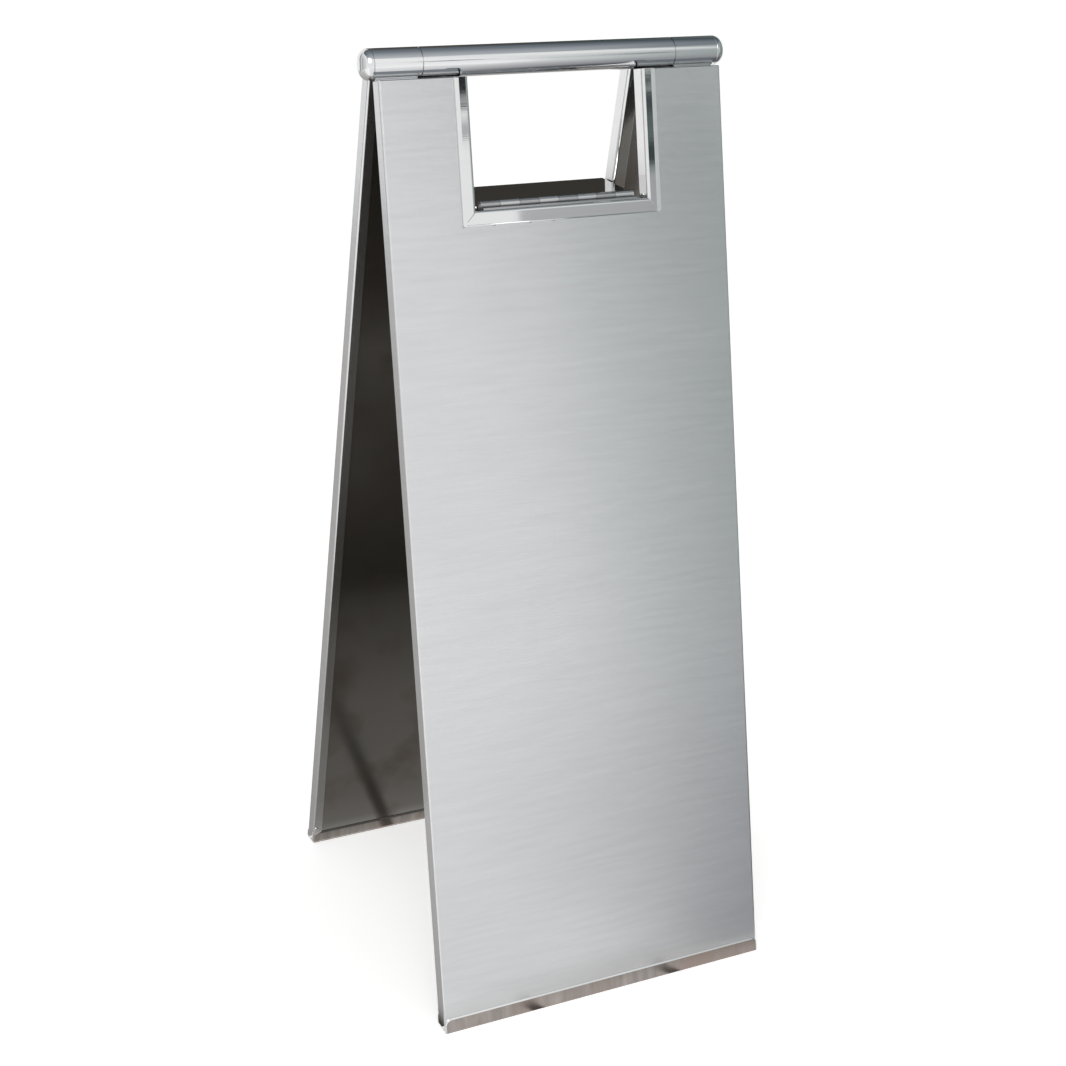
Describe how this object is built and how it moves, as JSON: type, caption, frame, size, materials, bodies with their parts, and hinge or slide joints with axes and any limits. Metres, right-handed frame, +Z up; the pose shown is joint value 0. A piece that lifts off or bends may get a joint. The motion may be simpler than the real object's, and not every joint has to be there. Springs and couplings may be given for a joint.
{
  "type": "folding floor warning sign",
  "caption": "Folding A-shaped floor sign of stainless steel sheet with a round carrying tube as hinge, edged hand openings and a hinged stay flap.",
  "frame": {"origin": "on the floor, at the middle of the open sign's footprint", "axes": "+X along the handle tube to the right as seen from the front, +Y from the front panel to the back panel, +Z up"},
  "size_m": [0.3262, 0.3478, 0.7976],
  "materials": {
    "panel_sheet": "brushed stainless steel sheet, satin",
    "mill_sheet": "mill finished stainless steel sheet, bright rolled",
    "polished_channel": "mirror polished stainless steel",
    "foot_channel": "half polished stainless steel",
    "polished_tube": "mirror polished stainless steel tube",
    "polished_cap": "mirror polished stainless steel",
    "plain_steel": "plain drawn stainless steel",
    "hinge_steel": "rolled stainless steel",
    "mirror_flap": "mirror polished stainless steel"
  },
  "bodies": {
    "front": {"front_panel": "panel_sheet", "front_inner_sheet": "mill_sheet", "front_trim_left": "polished_channel", "front_trim_right": "polished_channel", "front_sill": "polished_channel", "front_foot_channel": "foot_channel", "end_tube_left": "polished_tube", "end_tube_right": "polished_tube", "end_cap_left": "polished_cap", "end_cap_right": "polished_cap", "hinge_core_tube": "plain_steel", "stay_leaf": "hinge_steel", "stay_pin": "plain_steel"},
    "back": {"back_panel": "panel_sheet", "back_inner_sheet": "mill_sheet", "back_trim_left": "polished_channel", "back_trim_right": "polished_channel", "back_sill": "polished_channel", "back_foot_channel": "foot_channel", "handle_tube": "polished_tube"},
    "flap": {"stay_flap": "mirror_flap"}
  },
  "joints": [
    {"name": "fold", "type": "hinge", "parent": "front", "child": "back", "pos_m": [0, 0, 0.78512], "axis": [-1, 0, 0], "range_deg": [0, 22.6]},
    {"name": "stay", "type": "hinge", "parent": "front", "child": "flap", "pos_m": [0, -0.02669, 0.67298], "axis": [1, 0, 0], "range_deg": [0, 76.84]}
  ],
  "couplings": [
    {"joint": "stay", "follows": "fold", "ratio": 3.4}
  ]
}
